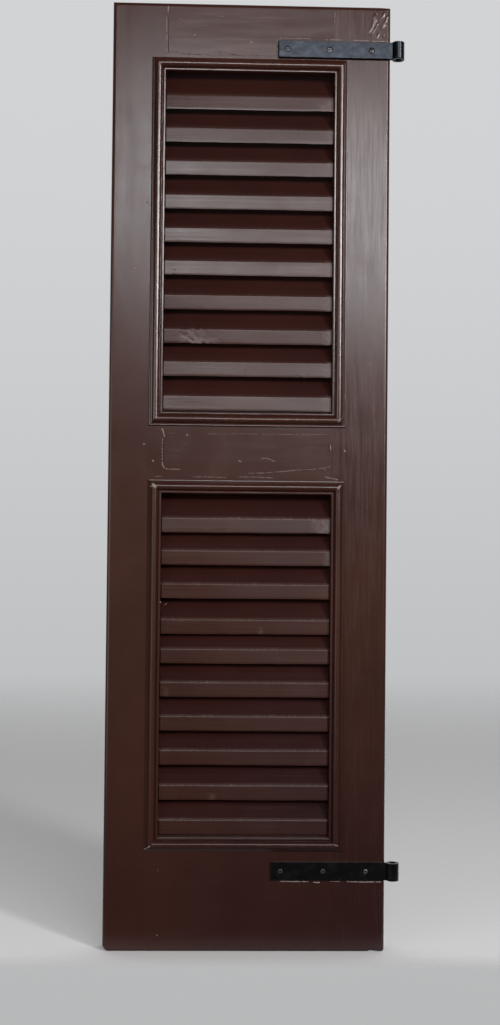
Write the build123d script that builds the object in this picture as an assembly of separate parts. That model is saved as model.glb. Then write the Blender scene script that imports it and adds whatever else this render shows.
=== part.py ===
from build123d import *

import os
from math import radians, tan

# One leaf of a painted wooden window shutter with two openings of fixed slats.
# Two stiles and three rails are joined by wedged through tenons. The slats sit in sloping housings
# cut in the stiles. A mitred bead is planted round each opening, and two iron straps with rolled
# eyes carry the leaf on pins that belong to the wall.
# The pieces are drawn in the leaf's own directions: X from its left edge, Y from its front face
# towards its back, Z from its bottom edge. Just before export they move to the hinge axis, with the
# origin on that axis at the underside of the lower eye.

# Leaf
leaf_w = 418.0
leaf_h = 1418.0
leaf_t = 34.0
edge_round = 2.0

# Stiles, rails and the lower opening, as seen on the front face
left_stile_w = 80.0
right_stile_w = 84.0
top_rail_h = 103.0
mid_rail_h = 121.5
bottom_rail_h = 168.0
lower_opening_h = 511.0
rail_land = 12.0          # square front part of a rail's lower edge, before it slopes like the slats
sill_slope = 15.0         # degrees, on the rails' upper edges, so that rain runs off to the front

# Tenons and the wedges driven in beside them from the leaf's edges
tenon_t = 12.0
tenon_wall = 1.0          # wood between a tenon and the slope of its rail
top_tenon_h = 60.0
mid_tenon_h = 84.0
bottom_tenon_h = 124.0
bottom_tenon_z = 26.0     # from the leaf's bottom edge to the lowest tenon
wedge_l = 45.0
wedge_t = 4.0             # at the wide end
wedge_tip_t = 0.8
joint_fit = 0.05          # glue line round tenons, wedges and slat ends

# Slats: parallelogram section, cut plumb at the front and back
slat_pitch = 50.0         # about: each opening holds a whole number of even spaces
slat_face_h = 23.0
slat_slope = 58.0         # degrees from level, rising towards the back
slat_setback = 1.0        # behind the leaf's front face and inside its back
slat_tip_flat = 0.7       # taken off the sharp arrises, along each face
slat_brow_round = 3.0     # blunt arrises
first_slat_drop = 36.0    # from the rail's lower edge to the face of the first slat
last_slat_gap = 2.0       # from the face of the last slat to the rail below it
housing_depth = 8.0
housing_end_gap = 0.2

# The slats were set out by eye: how far each face lies above even spacing, from the top down
upper_slat_drift = (0.5, 1.0, 1.5, 0.5, 0.5, 1.5, 0.0, -1.0, 0.5, -0.5)
lower_slat_drift = (-1.0, 0.5, 0.5, -2.5, 3.5, 4.0, 3.5, 3.0, 1.0, 0.0)

# Planted moulding, from its inner edge outwards: fillet, cove, round bead, quirk, fillet
inner_fillet_w = 3.0
inner_fillet_h = 5.0
cove_w = 3.8
cove_floor_h = 2.4
cove_hollow = 0.9         # how far the cove's curve sinks behind a straight bevel
bead_w = 9.0
bead_crown_h = 9.7
quirk_w = 2.0
quirk_floor_h = 2.0
outer_fillet_w = 3.0
outer_fillet_h = 3.8
moulding_ease = 0.5       # taken off the fillets' arrises

# Strap hinges
pin_d = 10.0              # the wall pin that each eye drops over
pin_clearance = 0.25      # on the radius
strap_t = 4.0
strap_w = 26.0
strap_reach = 181.5       # from the axis to the far end of the strap
strap_round = 1.2         # corners of the far end
strap_ease = 0.4          # long arrises
eye_offset = 12.0         # from the leaf's edge to the axis
eye_seam = 0.5            # slit where the rolled end comes back to the strap
upper_hinge_drop = 67.5   # from the leaf's top edge to the middle of the upper strap
lower_hinge_h = 119.0     # from the leaf's bottom edge to the middle of the lower strap

# Countersunk screws with a raised head and a crossed recess
screws_per_strap = 3
screw_end_gap = 14.0      # from the far end of the strap to the first screw
screw_pitch = 63.5
screw_l = 24.0
screw_d = 4.0
screw_head_d = 8.0
screw_raise_h = 0.9       # from the head's rim to its flat top
screw_top_d = 6.0
sink_d = 9.0
screw_fit = 0.05
recess_l = 4.4
recess_w = 1.0
recess_depth = 1.3

# Wear at the corners of the leaf
left_wear_h = 16.0
left_wear_w = 11.0
wear_belly = 0.27         # how near the worn curve comes to the lost corner, as a share
right_wear = 6.0
chip_w = 15.0
chip_h = 3.8
chip_depth = 16.0
chip_from_edge = 9.5
top_dip_w = 20.0
top_dip_h = 1.5

# Worked out from the sizes above
slope = tan(radians(slat_slope))
land_rise = (leaf_t - rail_land) * slope
sill_rise = leaf_t * tan(radians(sill_slope))
opening_x0 = left_stile_w
opening_x1 = leaf_w - right_stile_w
lower_opening_z0 = bottom_rail_h
lower_opening_z1 = lower_opening_z0 + lower_opening_h
upper_opening_z0 = lower_opening_z1 + mid_rail_h
upper_opening_z1 = leaf_h - top_rail_h
tenon_y0 = (leaf_t - tenon_t) / 2
tenon_y1 = (leaf_t + tenon_t) / 2
tenon_clear = max(tenon_y1 - rail_land, 0) * slope + tenon_wall
moulding_w = inner_fillet_w + cove_w + bead_w + quirk_w + outer_fillet_w
eye_r = pin_d / 2 + pin_clearance
eye_outer_r = eye_r + strap_t
axis_x = leaf_w + eye_offset
past = 5.0                # how far cutting shapes run past what they cut
foot = (Align.CENTER, Align.CENTER, Align.MIN)


def box_between(low, high):
    """A box from its lowest to its highest corner."""
    size = [high[i] - low[i] for i in range(3)]
    return Pos(*low) * Box(*size, align=Align.MIN)


def prism_along_x(points, x0, x1):
    """A prism along X over an outline of (y, z) points."""
    outline = Polyline(*[(x0, y, z) for y, z in points], close=True)
    return extrude(make_face(outline), amount=x1 - x0, dir=(1, 0, 0))


def prism_along_y(points, y0, y1):
    """A prism along Y over an outline of (x, z) points."""
    outline = Polyline(*[(x, y0, z) for x, z in points], close=True)
    return extrude(make_face(outline), amount=y1 - y0, dir=(0, 1, 0))


def worn_corner(corner_x, inward, width, height):
    """What wear took from a bottom corner: all that lies outside a curve across it."""
    start = (corner_x, 0, height)
    belly = (corner_x + inward * width * wear_belly, 0, height * wear_belly)
    end = (corner_x + inward * width, 0, 0)
    far_x = corner_x - inward * past
    curve = ThreePointArc(start, belly, end)
    rest = Polyline(end, (end[0], 0, -past), (far_x, 0, -past), (far_x, 0, height), start)
    face = make_face(curve + rest)
    return Pos(0, -past, 0) * extrude(face, amount=leaf_t + 2 * past, dir=(0, 1, 0))


def edge_chip():
    """The splinter missing from the bottom edge near the hinge side."""
    x1 = leaf_w - chip_from_edge
    x0 = x1 - chip_w
    start = (x0, 0, 0)
    top = ((x0 + x1) / 2, 0, chip_h)
    end = (x1, 0, 0)
    face = make_face(ThreePointArc(start, top, end) + Polyline(end, (x1, 0, -past), (x0, 0, -past), start))
    return Pos(0, -past, 0) * extrude(face, amount=chip_depth + past, dir=(0, 1, 0))


def leaf_envelope():
    """The outside of the whole leaf, with eased edges and worn corners, that each frame member keeps to."""
    blank = box_between((0, 0, 0), (leaf_w, leaf_t, leaf_h))
    front = blank.faces().sort_by(Axis.Y)[0].edges()
    back = blank.faces().sort_by(Axis.Y)[-1].edges()
    blank = fillet(front + back, radius=edge_round)
    dip_points = [
        (leaf_w - top_dip_w, leaf_h),
        (leaf_w + past, leaf_h - top_dip_h * (1 + past / top_dip_w)),
        (leaf_w + past, leaf_h + past),
        (leaf_w - top_dip_w, leaf_h + past),
    ]
    blank -= worn_corner(0, 1, left_wear_w, left_wear_h)
    blank -= worn_corner(leaf_w, -1, right_wear, right_wear)
    blank -= edge_chip()
    blank -= prism_along_y(dip_points, -past, leaf_t + past)
    return blank


def slat_section(face_z, y0, y1, grow=0.0):
    """The (y, z) outline of a slat between two depths, grown by a clearance above and below."""
    rise0 = (y0 - slat_setback) * slope
    rise1 = (y1 - slat_setback) * slope
    low = face_z - slat_face_h - grow
    high = face_z + grow
    return [(y0, low + rise0), (y0, high + rise0), (y1, high + rise1), (y1, low + rise1)]


def slat(face_z):
    """One slat with its ends in the housings. face_z is the top of its front face."""
    reach = housing_depth - housing_end_gap
    section = slat_section(face_z, slat_setback, leaf_t - slat_setback)
    body = prism_along_x(section, opening_x0 - reach, opening_x1 + reach)
    long_edges = body.edges().filter_by(Axis.X).sort_by(Axis.Y)
    front_tip, front_brow = long_edges[:2].sort_by(Axis.Z)
    back_brow, back_tip = long_edges[2:].sort_by(Axis.Z)
    body = chamfer([front_tip, back_tip], length=slat_tip_flat)
    brows = (front_brow.center(), back_brow.center())
    blunt = [edge for edge in body.edges().filter_by(Axis.X) if edge.center() in brows]
    return fillet(blunt, radius=slat_brow_round)


def slat_heights(z0, z1, drift):
    """The top of each slat's front face in an opening from z0 to z1, from the top down."""
    first = z1 - first_slat_drop
    last = z0 + last_slat_gap + slat_face_h
    spaces = max(round((first - last) / slat_pitch), 1)
    pitch = (first - last) / spaces
    return [first - pitch * i + drift[i % len(drift)] for i in range(spaces + 1)]


def housings(face_heights, x0, x1):
    """The sloping grooves, open at the front and back, that take the slats' ends."""
    grooves = []
    for face_z in face_heights:
        section = slat_section(face_z, -past, leaf_t + past, joint_fit)
        grooves.append(prism_along_x(section, x0, x1))
    return grooves


def rail_section(z0, z1, over_slats, under_slats):
    """The (y, z) outline of a rail: sloped like the slats over them, and like a sill under them."""
    points = [(0, z0), (0, z1), (leaf_t, z1 + (sill_rise if under_slats else 0))]
    if over_slats:
        return points + [(leaf_t, z0 + land_rise), (rail_land, z0)]
    return points + [(leaf_t, z0)]


def rail(z0, z1, over_slats, under_slats, tenon_z, tenon_h, envelope):
    """A rail between the stiles, with a tenon through each stile."""
    body = prism_along_x(rail_section(z0, z1, over_slats, under_slats), opening_x0, opening_x1)
    body += box_between((0, tenon_y0, tenon_z), (leaf_w, tenon_y1, tenon_z + tenon_h))
    return body & envelope


def wedge_outline(side, tenon_edge_z, outward, grow=0.0):
    """The (x, z) outline of one wedge. side is -1 at the left edge, outward is 1 above the tenon."""
    wide_x = 0 if side < 0 else leaf_w
    tip_x = wide_x - side * (wedge_l + grow)
    out_x = wide_x + side * grow
    near = tenon_edge_z + outward * (joint_fit - grow)
    return [
        (tip_x, near),
        (out_x, near),
        (out_x, tenon_edge_z + outward * (joint_fit + wedge_t + grow)),
        (tip_x, tenon_edge_z + outward * (joint_fit + wedge_tip_t + grow)),
    ]


def wedge(side, tenon_edge_z, outward):
    """A wedge that fills the flare of a mortise beside the tenon."""
    return prism_along_y(wedge_outline(side, tenon_edge_z, outward), tenon_y0, tenon_y1)


def mortise(side, tenon_z, tenon_h):
    """A through mortise, flared towards the leaf's edge for the two wedges."""
    x0 = -past if side < 0 else opening_x1 - past
    x1 = left_stile_w + past if side < 0 else leaf_w + past
    y0 = tenon_y0 - joint_fit
    y1 = tenon_y1 + joint_fit
    top = tenon_z + tenon_h
    slot = box_between((x0, y0, tenon_z - joint_fit), (x1, y1, top + joint_fit))
    upper_flare = prism_along_y(wedge_outline(side, top, 1, joint_fit), y0, y1)
    lower_flare = prism_along_y(wedge_outline(side, tenon_z, -1, joint_fit), y0, y1)
    return [slot, upper_flare, lower_flare]


def moulding_profile():
    """The moulding's (outward, proud) section as a face in XY, with softened arrises."""
    bead_x0 = inner_fillet_w + cove_w
    bead_x1 = bead_x0 + bead_w
    bead_spring = bead_crown_h - bead_w / 2
    bead_top = (bead_x0 + bead_w / 2, bead_crown_h)
    quirk_x1 = bead_x1 + quirk_w
    outline = Polyline((bead_x0, cove_floor_h), (bead_x0, bead_spring))
    outline += ThreePointArc((bead_x0, bead_spring), bead_top, (bead_x1, bead_spring))
    outline += Polyline(
        (bead_x1, bead_spring),
        (bead_x1, quirk_floor_h),
        (quirk_x1, quirk_floor_h),
        (quirk_x1, outer_fillet_h),
        (moulding_w, outer_fillet_h),
        (moulding_w, 0),
        (0, 0),
        (0, inner_fillet_h),
        (inner_fillet_w, inner_fillet_h),
    )
    outline += SagittaArc((inner_fillet_w, inner_fillet_h), (bead_x0, cove_floor_h), -cove_hollow)
    face = make_face(outline)
    beside_bead = [v for v in face.vertices() if v.X < bead_x0 or v.X > bead_x1]
    arrises = [v for v in beside_bead if v.Y in (inner_fillet_h, outer_fillet_h)]
    return chamfer(arrises, length=moulding_ease)


def moulding_run(inner_l):
    """A mitred length along X, centred, its inner edge on Z = 0 and its back on Y = 0."""
    half = inner_l / 2
    section = Plane(origin=(-half - moulding_w, 0, 0), x_dir=(0, 0, 1), z_dir=(1, 0, 0))
    bar = extrude(section * moulding_profile(), amount=inner_l + 2 * moulding_w, dir=(1, 0, 0))
    plan = [(-half, 0), (half, 0), (half + moulding_w, moulding_w), (-half - moulding_w, moulding_w)]
    return bar & prism_along_y(plan, -bead_crown_h - past, past)


def moulding_frame(name, z0, z1):
    """The four mitred lengths round an opening from z0 to z1."""
    across = opening_x1 - opening_x0
    up = z1 - z0
    mid_x = (opening_x0 + opening_x1) / 2
    mid_z = (z0 + z1) / 2
    return {
        name + "_moulding_top": Pos(mid_x, 0, z1) * moulding_run(across),
        name + "_moulding_bottom": Pos(mid_x, 0, z0) * Rot(0, 180, 0) * moulding_run(across),
        name + "_moulding_left": Pos(opening_x0, 0, mid_z) * Rot(0, -90, 0) * moulding_run(up),
        name + "_moulding_right": Pos(opening_x1, 0, mid_z) * Rot(0, 90, 0) * moulding_run(up),
    }


def screw_places(mid_z):
    """Where the screws of one strap enter the leaf, from the far end towards the eye."""
    first = axis_x - strap_reach + screw_end_gap
    return [(first + screw_pitch * i, mid_z) for i in range(screws_per_strap)]


def strap_hinge(mid_z):
    """A flat strap on the leaf's front face, rolled into an eye round the hinge axis."""
    plate = Pos(-strap_reach / 2, 0) * Rectangle(strap_reach, strap_t)
    ring = Circle(eye_outer_r)
    seam_y = strap_t / 2 + eye_seam / 2
    seam = Pos(-eye_outer_r / 2, seam_y) * Rectangle(eye_outer_r, eye_seam)
    outline = plate + ring - Circle(eye_r) - seam
    body = extrude(outline, amount=strap_w)
    far_end = body.faces().sort_by(Axis.X)[0]
    body = fillet(far_end.edges().filter_by(Axis.Y), radius=strap_round)
    front_edges = body.edges().filter_by(Axis.X).filter_by_position(
        Axis.Y, -strap_t / 2 - strap_ease / 2, -strap_t / 2 + strap_ease / 2
    )
    body = chamfer(front_edges, length=strap_ease)
    body = Pos(axis_x, -strap_t / 2, mid_z - strap_w / 2) * body
    for x, z in screw_places(mid_z):
        body -= Pos(x, -strap_t, z) * Rot(-90, 0, 0) * sink_tool()
    return body


def sink_tool():
    """The countersunk hole of the strap, down +Z from the strap's front face."""
    hole_r = screw_d / 2 + screw_fit
    sink_h = sink_d / 2 - hole_r
    hole = Pos(0, 0, -past) * Cylinder(hole_r, strap_t + 2 * past, align=foot)
    sink = Cone(sink_d / 2, hole_r, sink_h, align=foot)
    lead_in = Pos(0, 0, -past) * Cylinder(sink_d / 2, past, align=foot)
    return hole + sink + lead_in


def screw():
    """A screw down +Z, with Z = 0 at the strap's front face."""
    head_r = screw_head_d / 2
    shank_r = screw_d / 2
    rim_z = sink_d / 2 - head_r
    top_z = rim_z - screw_raise_h
    neck_z = rim_z + head_r - shank_r
    outline = Polyline(
        (0, 0, top_z),
        (screw_top_d / 2, 0, top_z),
        (head_r, 0, rim_z),
        (shank_r, 0, neck_z),
        (shank_r, 0, screw_l),
        (0, 0, screw_l),
        close=True,
    )
    body = revolve(make_face(outline), axis=Axis.Z)
    floor_z = top_z + recess_depth
    for turn in (0, 90):
        body -= Rot(0, 0, turn) * Pos(0, 0, floor_z - past / 2) * Box(recess_l, recess_w, past)
    return body


def screw_bores(mid_z):
    """The holes that one strap's screws cut in the wood."""
    bore = Cylinder(screw_d / 2 + screw_fit, screw_l, align=foot)
    return [Pos(x, -strap_t, z) * Rot(-90, 0, 0) * bore for x, z in screw_places(mid_z)]


def build():
    """Every piece by name, in the leaf's own directions."""
    envelope = leaf_envelope()
    upper_hinge_h = leaf_h - upper_hinge_drop
    upper_faces = slat_heights(upper_opening_z0, upper_opening_z1, upper_slat_drift)
    lower_faces = slat_heights(lower_opening_z0, lower_opening_z1, lower_slat_drift)
    bores = screw_bores(upper_hinge_h) + screw_bores(lower_hinge_h)

    # Name, lowest and highest front edge, slats below, slats above, tenon's foot and height
    rails = (
        ("top", upper_opening_z1, leaf_h, True, False, upper_opening_z1 + tenon_clear, top_tenon_h),
        ("mid", lower_opening_z1, upper_opening_z0, True, True, lower_opening_z1 + tenon_clear, mid_tenon_h),
        ("bottom", 0, bottom_rail_h, False, True, bottom_tenon_z, bottom_tenon_h),
    )

    pieces = {}
    left = box_between((0, 0, 0), (left_stile_w, leaf_t, leaf_h)) & envelope
    right = box_between((opening_x1, 0, 0), (leaf_w, leaf_t, leaf_h)) & envelope
    left -= housings(upper_faces + lower_faces, opening_x0 - housing_depth, opening_x0 + past)
    right -= housings(upper_faces + lower_faces, opening_x1 - past, opening_x1 + housing_depth)
    for name, z0, z1, over_slats, under_slats, tenon_z, tenon_h in rails:
        left -= mortise(-1, tenon_z, tenon_h)
        right -= mortise(1, tenon_z, tenon_h)
        member = rail(z0, z1, over_slats, under_slats, tenon_z, tenon_h, envelope)
        pieces[name + "_rail"] = member - bores
        for side_name, side in (("left", -1), ("right", 1)):
            for edge_name, edge_z, outward in (("upper", tenon_z + tenon_h, 1), ("lower", tenon_z, -1)):
                pieces[f"{name}_rail_{side_name}_{edge_name}_wedge"] = wedge(side, edge_z, outward)
    pieces["left_stile"] = left
    pieces["right_stile"] = right - bores

    for name, faces in (("upper", upper_faces), ("lower", lower_faces)):
        for number, face_z in enumerate(faces, start=1):
            pieces[f"{name}_slat_{number:02d}"] = slat(face_z)
    pieces.update(moulding_frame("upper", upper_opening_z0, upper_opening_z1))
    pieces.update(moulding_frame("lower", lower_opening_z0, lower_opening_z1))

    for name, mid_z in (("upper", upper_hinge_h), ("lower", lower_hinge_h)):
        pieces[name + "_strap_hinge"] = strap_hinge(mid_z)
        for number, (x, z) in enumerate(screw_places(mid_z), start=1):
            pieces[f"{name}_hinge_screw_{number}"] = Pos(x, -strap_t, z) * Rot(-90, 0, 0) * screw()
    return pieces


to_axis = Pos(-axis_x, strap_t / 2, strap_w / 2 - lower_hinge_h)
os.makedirs("parts", exist_ok=True)
for piece_name, piece in build().items():
    export_step(to_axis * piece, f"parts/{piece_name}.step")
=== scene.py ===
from math import cos, pi, radians, sin, tan

import bpy
from mathutils import Matrix, Quaternion, Vector, noise


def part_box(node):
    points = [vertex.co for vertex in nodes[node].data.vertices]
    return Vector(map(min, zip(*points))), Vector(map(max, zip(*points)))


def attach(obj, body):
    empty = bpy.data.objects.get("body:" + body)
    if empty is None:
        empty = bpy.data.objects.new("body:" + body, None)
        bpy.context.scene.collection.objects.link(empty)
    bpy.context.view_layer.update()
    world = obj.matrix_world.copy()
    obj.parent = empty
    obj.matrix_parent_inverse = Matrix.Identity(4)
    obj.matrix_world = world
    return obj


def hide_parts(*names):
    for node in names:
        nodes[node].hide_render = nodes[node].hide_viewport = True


# One leaf of an old painted window shutter in soft studio light. Lengths are in metres, and places
# on the leaf are given in millimetres from its left edge and its bottom edge, as seen from the front.

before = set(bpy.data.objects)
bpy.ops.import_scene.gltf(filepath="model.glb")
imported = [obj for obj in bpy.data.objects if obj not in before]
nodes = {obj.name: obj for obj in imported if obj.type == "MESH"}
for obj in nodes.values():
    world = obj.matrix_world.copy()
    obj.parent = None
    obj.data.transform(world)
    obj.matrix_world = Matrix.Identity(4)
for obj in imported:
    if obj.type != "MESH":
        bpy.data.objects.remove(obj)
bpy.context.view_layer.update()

mm = 0.001
leaf_low, leaf_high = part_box("left_stile")
leaf_left = leaf_low.x
leaf_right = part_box("right_stile")[1].x
leaf_front = leaf_low.y
leaf_foot = leaf_low.z
leaf_top = leaf_high.z

# Colours of the paint, the iron and the studio, as linear red, green and blue
brown_deep = (0.040, 0.0122, 0.0085)
brown_warm = (0.055, 0.0172, 0.0108)
brown_thin = (0.072, 0.0270, 0.0200)
# Painted shade toward the foot and on what faces upward
brown_shade = (0.016, 0.0058, 0.0072)
# Scuffed paint, and the painted highlights along the slats' edges and at their right ends
rubbed_and_highlight = (0.165, 0.118, 0.105)
rubbed_dry = (0.300, 0.235, 0.210)
# Painted shade inside open joints and a nail hole
crack_shade_tone = (0.006, 0.0025, 0.0020)
iron_sheen = (0.032, 0.036, 0.043)
iron_worn = (0.052, 0.058, 0.068)
screw_black = (0.015, 0.016, 0.017)
# Scuffed screw domes, with a painted highlight
screw_bare_and_highlight = (0.22, 0.205, 0.205)
sill_dust = (0.045, 0.026, 0.020)
paper = (0.93, 0.93, 0.93)
pale_wall = (0.645, 0.65, 0.66)
pale_low = (0.475, 0.48, 0.485)
front_low = (0.040, 0.037, 0.034)
front_band = (0.190, 0.150, 0.110)
front_high = (0.040, 0.041, 0.044)
lamp_warm = (1.0, 0.95, 0.92)
lamp_cool = (0.97, 0.97, 1.0)

# Camera, fitted to the photograph's view of the leaf. The picture's height and the focal length are in
# pixels, the sensor in mm, and the turn is a rotation vector in degrees.
photo_h = 1025
focal_px = 1343.5
sensor = 36.0
camera_place = Vector((-0.2756, -2.0059, 0.4964))
camera_turn = Vector((1.39, -0.581, -1.669))


def on_leaf(x, z, proud=0.0):
    """A point of the leaf's front face, or so many millimetres in front of it."""
    return Vector((leaf_left + x * mm, leaf_front - proud * mm, leaf_foot + z * mm))


def held(value):
    """The value, held between 0 and 1."""
    return max(0.0, min(1.0, value))


def noise_at(x, y, z):
    return noise.noise(Vector((x, y, z)))


def wave(place, seed, scale):
    """Smooth noise from -1 to 1 along a length. The seed's factors only keep the waves apart."""
    return noise_at(place * scale, seed * 7.31, seed * 1.7)


# Materials

# The sockets of a colour mix share their names with hidden ones, so they go by number
mix_share = 0
mix_first = 6
mix_second = 7
mix_result = 2


class Nodes:
    """The node tree of a material or a world, built one node a call."""

    def __init__(self, owner, coordinates="Object"):
        owner.use_nodes = True
        self.owner = owner
        self.tree = owner.node_tree
        self.place = self.add("ShaderNodeTexCoord").outputs[coordinates]

    def add(self, kind, **settings):
        node = self.tree.nodes.new(kind)
        for key, value in settings.items():
            setattr(node, key, value)
        return node

    def put(self, socket, value):
        """Links a socket or sets a plain value."""
        if isinstance(value, bpy.types.NodeSocket):
            self.tree.links.new(value, socket)
        else:
            socket.default_value = value

    def surface(self, name, value):
        """Links or sets an input of a material's shader."""
        self.put(self.tree.nodes["Principled BSDF"].inputs[name], value)

    def noise(self, scale, detail=3.0, roughness=0.55, distortion=0.0):
        """Noise with features that many times a metre, the same or different along x, y and z."""
        node = self.add("ShaderNodeTexNoise")
        mapping = self.add("ShaderNodeMapping")
        self.put(mapping.inputs["Vector"], self.place)
        self.put(mapping.inputs["Scale"], scale if isinstance(scale, tuple) else (scale, scale, scale))
        self.put(node.inputs["Vector"], mapping.outputs["Vector"])
        self.put(node.inputs["Scale"], 1.0)
        self.put(node.inputs["Detail"], detail)
        self.put(node.inputs["Roughness"], roughness)
        self.put(node.inputs["Distortion"], distortion)
        return node.outputs["Fac"]

    def between(self, value, low, high, to_low=0.0, to_high=1.0, eased=False):
        """The value's way from low to high, held inside the two ends, and eased toward them if asked."""
        kind = "SMOOTHSTEP" if eased else "LINEAR"
        node = self.add("ShaderNodeMapRange", interpolation_type=kind, clamp=True)
        ends = {"From Min": low, "From Max": high, "To Min": to_low, "To Max": to_high}
        for name, number in ends.items():
            self.put(node.inputs[name], number)
        self.put(node.inputs["Value"], value)
        return node.outputs["Result"]

    def math(self, operation, first, second=0.0):
        node = self.add("ShaderNodeMath", operation=operation)
        self.put(node.inputs[0], first)
        self.put(node.inputs[1], second)
        return node.outputs[0]

    def mix(self, share, first, second):
        """A mix of two colours, each a socket or plain numbers."""
        node = self.add("ShaderNodeMix", data_type="RGBA")
        self.put(node.inputs[mix_share], share)
        for number, colour in ((mix_first, first), (mix_second, second)):
            self.put(node.inputs[number], (*colour, 1.0) if isinstance(colour, tuple) else colour)
        return node.outputs[mix_result]

    def split(self, vector):
        """The X, Y and Z of a vector."""
        node = self.add("ShaderNodeSeparateXYZ")
        self.put(node.inputs[0], vector)
        return node.outputs

    def attribute(self, name):
        return self.add("ShaderNodeAttribute", attribute_name=name).outputs["Fac"]

    def bump(self, height, depth, under=None):
        """A bump of that depth in metres, over another one."""
        node = self.add("ShaderNodeBump")
        self.put(node.inputs["Height"], height)
        self.put(node.inputs["Distance"], depth)
        if under is not None:
            self.put(node.inputs["Normal"], under)
        return node.outputs["Normal"]


def new_material(name):
    return Nodes(bpy.data.materials.new(name))


def along(axis, across, lengthwise):
    """Scale factors for a texture that runs along x or z."""
    if axis == "x":
        return (lengthwise, across, across)
    return (across, across, lengthwise)


# The outer edges of the leaf, as axis, place on it and direction inward, and how round they look
leaf_edges = (("X", leaf_left, 1), ("X", leaf_right, -1), ("Z", leaf_foot, 1), ("Z", leaf_top, -1))
arris_r = 0.005
strap_arris_r = 0.0018
arris_turn = 0.96             # at 1 a rounded edge would make a full quarter turn


def eased_edges(n, edges, radius, under):
    """A normal that turns away toward outer edges, as rounded arrises do."""
    height = None
    for axis, edge, inward in edges:
        lost = n.between(n.split(n.place)[axis], edge, edge + inward * radius, 1.0, 0.0)
        fallen = n.math("MULTIPLY", n.math("MULTIPLY", lost, lost), arris_turn)
        level = n.math("SQRT", n.math("SUBTRACT", 1.0, fallen))
        height = level if height is None else n.math("MINIMUM", height, level)
    return n.bump(height, radius, under)


def rub_and_highlight_share(n, levels, patches, steady):
    """How far the paint turns to its bare colour, where it is scuffed through and where a highlight is
    painted: noise between two levels, in patches or all along, where the mesh's attribute for it is 1.
    The steady share of it no noise breaks up."""
    share = n.between(n.noise(170.0, detail=6.0, roughness=0.7), *levels)
    if patches:
        share = n.math("MULTIPLY", share, n.between(n.noise(16.0), 0.38, 0.60))
    share = n.between(share, 0.0, 1.0, steady, 1.0)
    return n.math("MULTIPLY", share, n.attribute("wear_and_highlight"))


# How the gloss paint varies over the leaf
foot_shade_h = 0.5                  # painted shade from the foot up to here in metres, darkest at the foot
foot_shade_left = 0.35              # share of painted shade along the foot, from the leaf's left edge
foot_shade_right = 0.80             # to its right edge
thin_most = 0.4               # share of thin paint where it is thinnest
gloss_from = leaf_left + 0.11
gloss_to = leaf_left + 0.24
upward = (0.20, 0.45)         # how much a face looks up, where it goes from a front to a slope
# How much painted shade darkens what faces upward, such as the slats' slopes
slope_shade = 0.42
worn_dull = 0.2               # roughness that rubbing adds

# Depths of the bumps in metres
wavy_depth = 0.0004
brush_depth = 0.00001
peel_depth = 0.00001
drift_depth = 0.0003
beaten_depth = 0.0004
grit_depth = 0.00001
patch_depth = 0.00003


def gloss_paint(name, axis, shine=0.235, ridge=0.00005, streaks=0.0, streak_scale=(210.0, 2.5),
                slope_shine=None, left_gloss=0.0, worn=None, steady=0.0, patches=True, bare=rubbed_and_highlight,
                level=0.5, edges=()):
    """Old gloss paint brushed along x or z, over wood with its grain the same way, with painted shade
    toward the foot.

    shine is its roughness, streaks how much that varies with the grain, slope_shine the roughness of
    what faces upward, which painted shade darkens too, and left_gloss how much smoother the paint gets
    toward the leaf's left. ridge is the depth of the grain. worn, patches and steady say how the paint
    turns to the bare colour where it is scuffed through and where highlights are painted, as
    rub_and_highlight_share has it. level is the paint's mirror strength, and edges are those that look
    rounded."""
    n = new_material(name)
    mottle = n.noise((7.0, 7.0, 5.0), detail=4.0)
    cloud = n.noise((26.0, 26.0, 22.0), detail=5.0, distortion=0.4)
    grain = n.noise(along(axis, 400.0, 6.0), detail=5.0, roughness=0.6)
    brush = n.noise(along(axis, 1100.0, 26.0))
    peel = n.noise(300.0, detail=2.0)

    tone = n.mix(n.between(mottle, 0.35, 0.68), brown_deep, brown_warm)
    thin = n.math("MULTIPLY", n.between(grain, 0.52, 0.72), n.between(cloud, 0.40, 0.70))
    tone = n.mix(n.math("MULTIPLY", thin, thin_most), tone, brown_thin)
    # Painted shade: darker toward the foot, more so toward the right edge
    low_down = n.between(n.split(n.place)["Z"], leaf_foot, leaf_foot + foot_shade_h, 1.0, 0.0)
    foot_shade_share = n.between(n.split(n.place)["X"], leaf_left, leaf_right, foot_shade_left, foot_shade_right)
    tone = n.mix(n.math("MULTIPLY", low_down, foot_shade_share), tone, brown_shade)
    rough = n.between(cloud, 0.30, 0.75, shine - 0.02, shine + 0.03)
    if streaks:
        streak = n.noise(along(axis, *streak_scale), detail=4.0, roughness=0.6)
        rough = n.math("ADD", rough, n.between(streak, 0.35, 0.65, -streaks, streaks))
    if left_gloss:
        less = n.between(n.split(n.place)["X"], gloss_from, gloss_to, -left_gloss, 0.0)
        rough = n.math("ADD", rough, less)
    if slope_shine:
        facing = n.split(n.add("ShaderNodeNewGeometry").outputs["Normal"])["Z"]
        rough = n.math("ADD", rough, n.between(facing, *upward, 0.0, slope_shine - shine))
        # Painted shade on what faces upward
        tone = n.mix(n.between(facing, *upward, 0.0, slope_shade), tone, brown_shade)
    if worn:
        wear_and_highlight = rub_and_highlight_share(n, worn, patches, steady)
        tone = n.mix(wear_and_highlight, tone, bare)
        rough = n.math("ADD", rough, n.math("MULTIPLY", wear_and_highlight, worn_dull))
    n.surface("Base Color", tone)
    n.surface("Roughness", rough)
    n.surface("Specular IOR Level", level)

    wavy = n.bump(n.noise(along(axis, 24.0, 5.0), detail=2.0), wavy_depth)
    if edges:
        wavy = eased_edges(n, edges, arris_r, wavy)
    grained = n.bump(grain, ridge, wavy)
    brushed = n.bump(brush, brush_depth, grained)
    n.surface("Normal", n.bump(peel, peel_depth, brushed))
    return n.owner


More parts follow.
